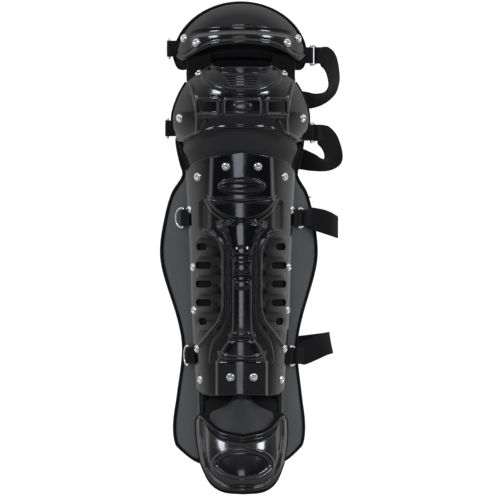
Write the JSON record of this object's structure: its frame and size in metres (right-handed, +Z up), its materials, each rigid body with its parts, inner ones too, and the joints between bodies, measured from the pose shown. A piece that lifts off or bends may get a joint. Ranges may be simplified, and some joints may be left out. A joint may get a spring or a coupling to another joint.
{
  "type": "catcher leg guard",
  "caption": "Single padded leg guard with lapped thigh, knee, shin and instep shells in gloss black plastic, grey side wings, and elastic straps with rings, hooks and sliders.",
  "frame": {"origin": "on the leg's axis at the line where the knee section meets the shin section", "axes": "+Z up the leg, -Y towards the guard's front, +X to the side that carries the straps"},
  "size_m": [0.2573, 0.1882, 0.6855],
  "materials": {
    "shell_plastic": "high gloss black moulded polyethylene",
    "lap_plastic": "fine matte black plastic",
    "wing_vinyl": "dark grey smooth grained vinyl over foam",
    "pad_fabric": "black knit over foam",
    "binding_tape": "black woven tape",
    "hinge_leather": "black leather",
    "webbing": "black ribbed elastic webbing",
    "nickel": "bright nickel plate",
    "slider_plastic": "black acetal"
  },
  "bodies": {
    "shin": {"shin_shell": "shell_plastic", "knee_plate": "lap_plastic", "shin_pad": "wing_vinyl", "shin_binding": "binding_tape", "shin_rivets": "nickel", "instep_hinge": "hinge_leather", "tab_calf_left": "webbing", "tab_calf_right": "webbing", "tab_ankle_left": "webbing", "tab_ankle_right": "webbing"},
    "knee": {"knee_shell": "shell_plastic", "knee_pad": "pad_fabric", "knee_binding": "binding_tape", "knee_rivets": "nickel", "tab_knee_left": "webbing", "tab_knee_right": "webbing", "link_left": "webbing", "link_right": "webbing"},
    "thigh": {"thigh_shell": "shell_plastic", "thigh_pad": "pad_fabric", "thigh_tongue": "pad_fabric", "thigh_binding": "binding_tape", "thigh_rivets": "nickel", "tab_thigh_left": "webbing", "tab_thigh_right": "webbing"},
    "instep": {"instep_flap": "lap_plastic", "toe_shell": "shell_plastic", "toe_pad": "pad_fabric", "toe_binding": "binding_tape"},
    "thigh_strap": {"strap_thigh": "webbing", "hook_thigh": "nickel", "ring_thigh_right": "nickel"},
    "thigh_slider": {"slider_thigh": "slider_plastic"},
    "thigh_ring": {"ring_thigh_left": "nickel"},
    "knee_strap": {"strap_knee": "webbing", "hook_knee": "nickel", "ring_knee_right": "nickel"},
    "knee_slider": {"slider_knee": "slider_plastic"},
    "knee_ring": {"ring_knee_left": "nickel"},
    "calf_strap": {"strap_calf": "webbing", "hook_calf": "nickel", "ring_calf_right": "nickel"},
    "calf_slider": {"slider_calf": "slider_plastic"},
    "calf_ring": {"ring_calf_left": "nickel"},
    "ankle_strap": {"strap_ankle": "webbing", "hook_ankle": "nickel", "ring_ankle_right": "nickel"},
    "ankle_slider": {"slider_ankle": "slider_plastic"},
    "ankle_ring": {"ring_ankle_left": "nickel"}
  },
  "joints": [
    {"name": "knee_flex", "type": "hinge", "parent": "shin", "child": "knee", "pos_m": [0, 0, 0.072], "axis": [-1, 0, 0], "range_deg": [0, 30]},
    {"name": "thigh_flex", "type": "hinge", "parent": "knee", "child": "thigh", "pos_m": [0, 0, 0.072], "axis": [-1, 0, 0], "range_deg": [0, 30], "deforming": ["link_left", "link_right"]},
    {"name": "ankle_flex", "type": "hinge", "parent": "shin", "child": "instep", "pos_m": [0, -0.058, -0.322], "axis": [-1, 0, 0], "range_deg": [-5, 20]},
    {"name": "thigh_strap_swing", "type": "hinge", "parent": "thigh", "child": "thigh_strap", "pos_m": [0.098, -0.027, 0.146], "axis": [0, 0, 1], "range_deg": [-70, 0]},
    {"name": "thigh_slider_slide", "type": "slide", "parent": "thigh_strap", "child": "thigh_slider", "axis": [1, 0, 0], "range_m": [-0.025, 0.025]},
    {"name": "thigh_ring_swing", "type": "hinge", "parent": "thigh", "child": "thigh_ring", "pos_m": [-0.099, -0.024, 0.155], "axis": [0, 0, 1], "range_deg": [0, 60]},
    {"name": "knee_strap_swing", "type": "hinge", "parent": "knee", "child": "knee_strap", "pos_m": [0.099, -0.017, 0.038], "axis": [0, 0, 1], "range_deg": [-70, 0]},
    {"name": "knee_slider_slide", "type": "slide", "parent": "knee_strap", "child": "knee_slider", "axis": [1, 0, 0], "range_m": [-0.025, 0.025]},
    {"name": "knee_ring_swing", "type": "hinge", "parent": "knee", "child": "knee_ring", "pos_m": [-0.101, -0.016, 0.044], "axis": [0, 0, 1], "range_deg": [0, 60]},
    {"name": "calf_strap_swing", "type": "hinge", "parent": "shin", "child": "calf_strap", "pos_m": [0.082, -0.019, -0.081], "axis": [0, 0, 1], "range_deg": [-70, 0]},
    {"name": "calf_slider_slide", "type": "slide", "parent": "calf_strap", "child": "calf_slider", "axis": [1, 0, 0], "range_m": [-0.025, 0.025]},
    {"name": "calf_ring_swing", "type": "hinge", "parent": "shin", "child": "calf_ring", "pos_m": [-0.08, -0.023, -0.081], "axis": [0, 0, 1], "range_deg": [0, 60]},
    {"name": "ankle_strap_swing", "type": "hinge", "parent": "shin", "child": "ankle_strap", "pos_m": [0.07, -0.023, -0.274], "axis": [0, 0, 1], "range_deg": [-70, 0]},
    {"name": "ankle_slider_slide", "type": "slide", "parent": "ankle_strap", "child": "ankle_slider", "axis": [1, 0, 0], "range_m": [-0.025, 0.025]},
    {"name": "ankle_ring_swing", "type": "hinge", "parent": "shin", "child": "ankle_ring", "pos_m": [-0.073, -0.024, -0.273], "axis": [0, 0, 1], "range_deg": [0, 60]}
  ]
}
